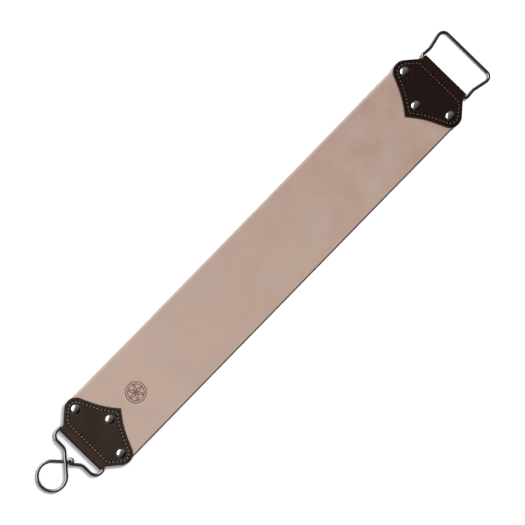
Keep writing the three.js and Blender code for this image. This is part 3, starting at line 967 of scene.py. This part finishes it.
class Surface:
    """A material with a few short helpers for its nodes; noise and cell scales are per metre."""

    def __init__(self, name):
        self.material = bpy.data.materials.new(name)
        self.material.use_nodes = True
        self.tree = self.material.node_tree
        self.tree.nodes.clear()
        self.shader = self.tree.nodes.new("ShaderNodeBsdfPrincipled")
        output = self.tree.nodes.new("ShaderNodeOutputMaterial")
        self.tree.links.new(self.shader.outputs[0], output.inputs["Surface"])
        self.place = self.tree.nodes.new("ShaderNodeTexCoord").outputs["Object"]

    def put(self, socket, value):
        """Links a node's output to a socket, or sets the socket's own colour or number."""
        if isinstance(value, bpy.types.NodeSocket):
            self.tree.links.new(value, socket)
        elif isinstance(value, tuple) and len(value) == 3:
            socket.default_value = (*value, 1.0)
        else:
            socket.default_value = value

    def set(self, **values):
        """Inputs of the shader, by name, with _ for each space."""
        for name, value in values.items():
            self.put(self.shader.inputs[name.replace("_", " ")], value)

    def noise(self, scale, detail=3.0, roughness=0.5, stretch=None):
        node = self.tree.nodes.new("ShaderNodeTexNoise")
        node.inputs["Scale"].default_value = scale
        node.inputs["Detail"].default_value = detail
        node.inputs["Roughness"].default_value = roughness
        self.put(node.inputs["Vector"], self.stretched(stretch) if stretch else self.place)
        return node.outputs["Fac"]

    def cells(self, scale, feature):
        node = self.tree.nodes.new("ShaderNodeTexVoronoi")
        node.feature = feature
        node.inputs["Scale"].default_value = scale
        self.put(node.inputs["Vector"], self.place)
        return node.outputs["Distance"]

    def position(self):
        node = self.tree.nodes.new("ShaderNodeSeparateXYZ")
        self.put(node.inputs[0], self.place)
        return node.outputs

    def stretched(self, factors):
        node = self.tree.nodes.new("ShaderNodeMapping")
        node.inputs["Scale"].default_value = factors
        self.put(node.inputs["Vector"], self.place)
        return node.outputs["Vector"]

    def product(self, a, b):
        node = self.tree.nodes.new("ShaderNodeMath")
        node.operation = "MULTIPLY"
        self.put(node.inputs[0], a)
        self.put(node.inputs[1], b)
        return node.outputs[0]

    def span(self, value, low, high, out_low=0.0, out_high=1.0):
        """The value carried from low...high to out_low...out_high, and held there."""
        node = self.tree.nodes.new("ShaderNodeMapRange")
        self.put(node.inputs["Value"], value)
        for name, number in zip(("From Min", "From Max", "To Min", "To Max"), (low, high, out_low, out_high)):
            node.inputs[name].default_value = number
        return node.outputs["Result"]

    def mix(self, share, a, b):
        node = self.tree.nodes.new("ShaderNodeMix")
        node.data_type = "RGBA"
        self.put(node.inputs["Factor"], share)
        self.put(node.inputs["A"], a)
        self.put(node.inputs["B"], b)
        return node.outputs["Result"]

    def attribute(self, name):
        node = self.tree.nodes.new("ShaderNodeAttribute")
        node.attribute_name = name
        return node.outputs["Fac"]

    def bump(self, height, strength, distance, below=None):
        """A bumped normal, over another one if below is given; distance is in metres."""
        node = self.tree.nodes.new("ShaderNodeBump")
        node.inputs["Strength"].default_value = strength
        node.inputs["Distance"].default_value = distance
        self.put(node.inputs["Height"], height)
        if below is not None:
            self.put(node.inputs["Normal"], below)
        return node.outputs["Normal"]

    def side_shading_near_cut(self, low, high, most, side):
        """Share of painted light near the strap's cut edge, only on its +Y side (side 1, a painted highlight)
        or its -Y side (side -1, painted shade).
        """
        _, across, _ = self.position()
        near = self.span(self.attribute("edge"), low, high, 0.0, most)
        return self.product(near, self.span(across, 0.0, side * SIDE_FADE))


def strap_grain():
    """Undyed grain side: pink and grey-beige clouding, fine pores, a painted highlight along the +Y edge and
    painted shade along the -Y edge.
    """
    s = Surface("strap_grain_leather")
    along, _, _ = s.position()
    # Darker toward the handle end.
    hook_to_handle = s.span(along, TONE_START_X, TONE_END_X)
    clouds = s.noise(22, 3.5, 0.55)
    patches = s.noise(70, 4.0, 0.6)
    fine = s.noise(900, 3.0, 0.65)
    colour = s.mix(hook_to_handle, STRAP_NEAR_HOOK, STRAP_NEAR_HANDLE)
    colour = s.mix(s.span(clouds, 0.36, 0.66, 0.0, 0.6), colour, STRAP_GREY_CLOUD)
    colour = s.mix(s.span(patches, 0.35, 0.75, 0.0, 0.35), colour, STRAP_PINK_PATCH)
    colour = s.mix(s.span(fine, 0.3, 0.7, 0.0, 0.25), colour, STRAP_PORE)
    # Painted highlight along the +Y edge.
    colour = s.mix(s.side_shading_near_cut(0.08, 0.7, 0.8, 1), colour, STRAP_EDGE_HIGHLIGHT)
    # Painted shade along the -Y edge.
    colour = s.mix(s.side_shading_near_cut(0.31, 0.40, 1.0, -1), colour, STRAP_EDGE_SHADE)
    colour = s.mix(s.span(s.attribute("stamp"), 0.1, 0.8, 0.0, 0.95), colour, STRAP_STAMP)
    pores = s.cells(1500, "F1")
    creases = s.noise(420, 5.0, 0.7)
    s.set(Base_Color=colour, Roughness=s.span(creases, 0.3, 0.7, 0.52, 0.7), Sheen_Weight=0.08)
    s.set(Sheen_Roughness=0.5, Specular_IOR_Level=0.22)
    normal = s.bump(s.span(pores, 0.0, 0.5), 0.5, 0.0001)
    normal = s.bump(creases, 0.45, 0.00016, normal)
    s.set(Normal=normal)
    return s.material


def strap_flesh():
    """The strap's underside and cut walls: paler, napped fibre, a painted highlight along the +Y wall and
    painted shade along the -Y wall.
    """
    s = Surface("strap_flesh_leather")
    clouds = s.noise(30, 4.0, 0.6)
    fibre = s.noise(700, 5.0, 0.75, (0.35, 1.0, 1.0))
    colour = s.mix(s.span(clouds, 0.3, 0.7), FLESH_PALE, FLESH_TAN)
    colour = s.mix(s.span(fibre, 0.3, 0.7, 0.0, 0.45), colour, FLESH_FIBRE)
    # Painted highlight along the +Y wall.
    colour = s.mix(s.side_shading_near_cut(0.2, 0.9, 0.6, 1), colour, STRAP_WALL_HIGHLIGHT)
    # Painted shade along the -Y wall.
    colour = s.mix(s.side_shading_near_cut(0.31, 0.40, 1.0, -1), colour, STRAP_EDGE_SHADE)
    s.set(Base_Color=colour, Roughness=0.88, Sheen_Weight=0.35, Specular_IOR_Level=0.2)
    s.set(Normal=s.bump(fibre, 0.55, 0.0003))
    return s.material


def tab_grain(name, dark, light):
    """Dyed grain leather with fine creases, redder edges with a painted highlight along their rounding, and
    painted shade in the stitch holes.
    """
    s = Surface(name)
    clouds = s.noise(60, 3.0, 0.5)
    fine = s.noise(1300, 4.0, 0.65)
    # Paler flecks of the grain's own tone, and also the colour of the painted highlight ring round each
    # rivet.
    pale_fleck_and_ring_highlight = tuple(1.9 * c for c in light)
    # Redder: rubbed wear over the fold, and the painted highlight along the rounded cut edge.
    rubbed = (3.0 * light[0], 2.1 * light[1], 1.8 * light[2])
    colour = s.mix(s.span(clouds, 0.3, 0.7), dark, light)
    colour = s.mix(s.span(fine, 0.4, 0.72, 0.0, 0.35), colour, pale_fleck_and_ring_highlight)
    # Painted highlight along the rounded cut edge.
    colour = s.mix(s.span(s.attribute("edge"), 0.15, 0.9, 0.0, 0.55), colour, rubbed)
    # Painted highlight ring round each rivet.
    colour = s.mix(s.span(s.attribute("ring"), 0.1, 1.0, 0.0, 0.9), colour, pale_fleck_and_ring_highlight)
    colour = s.mix(s.span(s.attribute("fold"), 0.0, 1.0, 0.0, 0.16), colour, rubbed)
    # Painted shade along the fold's turn.
    colour = s.mix(s.span(s.attribute("fold_shade"), 0.0, 1.0, 0.0, 0.7), colour, TAB_FOLD_SHADE)
    # Painted shade in the stitch holes.
    colour = s.mix(s.span(s.attribute("hole_shade"), 0.12, 0.5, 0.0, 0.95), colour, TAB_HOLE_SHADE)
    pores = s.cells(1100, "DISTANCE_TO_EDGE")
    creases = s.noise(380, 5.0, 0.7)
    s.set(Base_Color=colour, Roughness=s.span(creases, 0.3, 0.7, 0.42, 0.6), Specular_IOR_Level=0.08)
    normal = s.bump(s.span(pores, 0.0, 0.25), 0.5, 0.00016)
    normal = s.bump(creases, 0.45, 0.00022, normal)
    s.set(Normal=normal)
    return s.material


def tab_flesh():
    """The tabs' cut walls and inner faces: dark, napped fibre."""
    s = Surface("tab_flesh_leather")
    fibre = s.noise(800, 5.0, 0.75)
    colour = s.mix(s.span(fibre, 0.3, 0.7), TAB_FLESH_DARK, TAB_FLESH_LIGHT)
    s.set(Base_Color=colour, Roughness=0.9, Sheen_Weight=0.2, Specular_IOR_Level=0.2)
    s.set(Normal=s.bump(fibre, 0.5, 0.0003))
    return s.material


def waxed_thread(name, dark, light):
    """Waxed thread with its plies in the bump, paler where it is rubbed."""
    s = Surface(name)
    plies = s.noise(2600, 2.0, 0.5)
    wear = s.noise(160, 3.0, 0.6)
    rubbed = tuple(1.3 * c for c in light)
    colour = s.mix(s.span(plies, 0.35, 0.65), dark, light)
    colour = s.mix(s.span(wear, 0.35, 0.7, 0.0, 0.4), colour, rubbed)
    s.set(Base_Color=colour, Roughness=0.62, Sheen_Weight=0.2, Specular_IOR_Level=0.3)
    s.set(Normal=s.bump(plies, 0.6, 0.0001))
    return s.material


def plated_wire():
    """Nickel plate, slightly tarnished, with faint draw marks."""
    s = Surface("nickel_plated_wire")
    tarnish = s.noise(90, 4.0, 0.6)
    drawn = s.noise(1800, 3.0, 0.6)
    colour = s.mix(s.span(tarnish, 0.3, 0.7), WIRE_DARK, WIRE_LIGHT)
    s.set(Base_Color=colour, Metallic=1.0, Roughness=s.span(drawn, 0.3, 0.7, 0.10, 0.20))
    s.set(Normal=s.bump(drawn, 0.12, 0.00005))
    return s.material


def rivet_metal():
    s = Surface("polished_rivet_metal")
    wear = s.noise(350, 5.0, 0.65)
    colour = s.mix(s.span(wear, 0.3, 0.7), RIVET_DARK, RIVET_LIGHT)
    s.set(Base_Color=colour, Metallic=1.0, Roughness=s.span(wear, 0.3, 0.75, 0.12, 0.26))
    s.set(Normal=s.bump(wear, 0.1, 0.00008))
    return s.material


def pale_floor():
    s = Surface("pale_floor")
    faint = s.noise(3, 2.0, 0.5)
    s.set(Base_Color=s.mix(faint, FLOOR_DARK, FLOOR_LIGHT), Roughness=0.9)
    return s.material


# ---------- Stage, light and camera ----------

FLOOR_HALF_SIZE = 1.5
FLOOR_Z = -0.0002

# The room's brightness rises with a direction's y from DIM_Y to BRIGHT_Y.
DIM_Y, BRIGHT_Y = -0.5, 0.6
DIM_STRENGTH, BRIGHT_STRENGTH = 0.005, 0.2

# Where each light stands, its width and height, and its power in watts.
KEY_LIGHT = ((2.1, -0.1, 3.0), (0.9, 0.9), 119)
OVERHEAD_LIGHT = ((0.0, 0.0, 2.6), (3.0, 3.0), 42)
PANEL_LIGHT = ((-0.7, 1.3, 1.0), (2.2, 1.7), 30)

# The picture is FRAME_WIDTH_MM wide at FRAME_LEVEL_MM over the floor.
LENS = 100
SENSOR_WIDTH = 36
FRAME_WIDTH_MM = 464.2
FRAME_LEVEL_MM = 5.0
FRAME_SHIFT_X_MM = -0.31
FRAME_SHIFT_Y_MM = 0.47
STRAP_ANGLE = math.radians(45.74)


def make_floor():
    """A plain pale floor that the metal doesn't mirror."""
    plan = [(-1, -1), (1, -1), (1, 1), (-1, 1)]
    corners = [(x * FLOOR_HALF_SIZE, y * FLOOR_HALF_SIZE, FLOOR_Z) for x, y in plan]
    floor = new_piece("floor", corners, [(0, 1, 2, 3)], [pale_floor()], smooth=False)
    floor.visible_glossy = False


def area_light(name, place, size, power):
    """A rectangular light aimed at the strap's middle."""
    target = Vector((STRAP_MIDDLE_X * MM, 0, 0))
    light = bpy.data.lights.new(name, "AREA")
    light.shape = "RECTANGLE"
    light.size, light.size_y = size
    light.energy = power
    lamp = bpy.data.objects.new(name, light)
    lamp.location = place
    lamp.rotation_euler = (target - Vector(place)).to_track_quat("-Z", "Y").to_euler()
    bpy.context.scene.collection.objects.link(lamp)
    return lamp


def make_lights():
    """A key beyond the handle and a fill overhead, with a panel on the +Y side for the highlights."""
    key = area_light("key", *KEY_LIGHT)
    overhead = area_light("overhead", *OVERHEAD_LIGHT)
    panel = area_light("panel", *PANEL_LIGHT)
    key.visible_glossy = False
    overhead.visible_glossy = False
    panel.visible_diffuse = False


def make_studio_air():
    """The room around the strop: a dim gradient, darker on the -Y side, behind a plain pale background."""
    world = bpy.data.worlds.new("studio")
    world.use_nodes = True
    nodes = world.node_tree.nodes
    links = world.node_tree.links
    heading = nodes.new("ShaderNodeSeparateXYZ")
    links.new(nodes.new("ShaderNodeTexCoord").outputs["Generated"], heading.inputs[0])
    across = nodes.new("ShaderNodeMapRange")
    links.new(heading.outputs["Y"], across.inputs["Value"])
    across.inputs["From Min"].default_value = DIM_Y
    across.inputs["From Max"].default_value = BRIGHT_Y
    across.inputs["To Min"].default_value = DIM_STRENGTH
    across.inputs["To Max"].default_value = BRIGHT_STRENGTH
    total = nodes.new("ShaderNodeMath")
    total.operation = "MAXIMUM"
    links.new(across.outputs["Result"], total.inputs[0])
    links.new(nodes.new("ShaderNodeLightPath").outputs["Is Camera Ray"], total.inputs[1])
    links.new(total.outputs[0], nodes["Background"].inputs["Strength"])
    nodes["Background"].inputs["Color"].default_value = (1.0, 1.0, 1.0, 1.0)
    bpy.context.scene.world = world
    bpy.context.scene.view_settings.view_transform = "Standard"
    bpy.context.scene.view_settings.look = "None"


def make_camera():
    """Straight above the strap's middle, turned so that the strop lies on the frame's diagonal."""
    camera = bpy.data.cameras.new("camera")
    camera.lens = LENS
    camera.sensor_width = SENSOR_WIDTH
    height = FRAME_WIDTH_MM * LENS / SENSOR_WIDTH + FRAME_LEVEL_MM
    holder = bpy.data.objects.new("camera", camera)
    holder.location = ((STRAP_MIDDLE_X + FRAME_SHIFT_X_MM) * MM, FRAME_SHIFT_Y_MM * MM, height * MM)
    holder.rotation_euler = (0, 0, -STRAP_ANGLE)
    bpy.context.scene.collection.objects.link(holder)
    bpy.context.scene.camera = holder


# ---------- Assembly ----------


def make_end(end_name, end, looks, backing, metal):
    """The tab at one end, with its two rows of stitches and its rivets."""
    leather = tab_grain(f"{end_name}_tab_grain_leather", *looks["leather"])
    thread = waxed_thread(f"{end_name}_waxed_thread", *looks["thread"])
    folded_tab(end_name, end, looks["seed"], [leather, backing])
    seam_stitches(end_name, end, "top", thread)
    seam_stitches(end_name, end, "under", thread)
    rivets(end_name, end, metal)


make_camera()
strap_leather([strap_grain(), strap_flesh()])
TAB_BACKING = tab_flesh()
RIVET_METAL = rivet_metal()
WIRE_METAL = plated_wire()
make_end("hook", HOOK_END, HOOK_TAB, TAB_BACKING, RIVET_METAL)
make_end("handle", HANDLE_END, HANDLE_TAB, TAB_BACKING, RIVET_METAL)
wire_piece("handle_bent_wire", handle_route(), HANDLE_END, HANDLE_TILT, "handle", "handle_wire", WIRE_METAL)
wire_piece("hook_bent_wire", hook_route(), HOOK_END, 0, "hook", "hook_wire", WIRE_METAL)
make_floor()
make_studio_air()
make_lights()
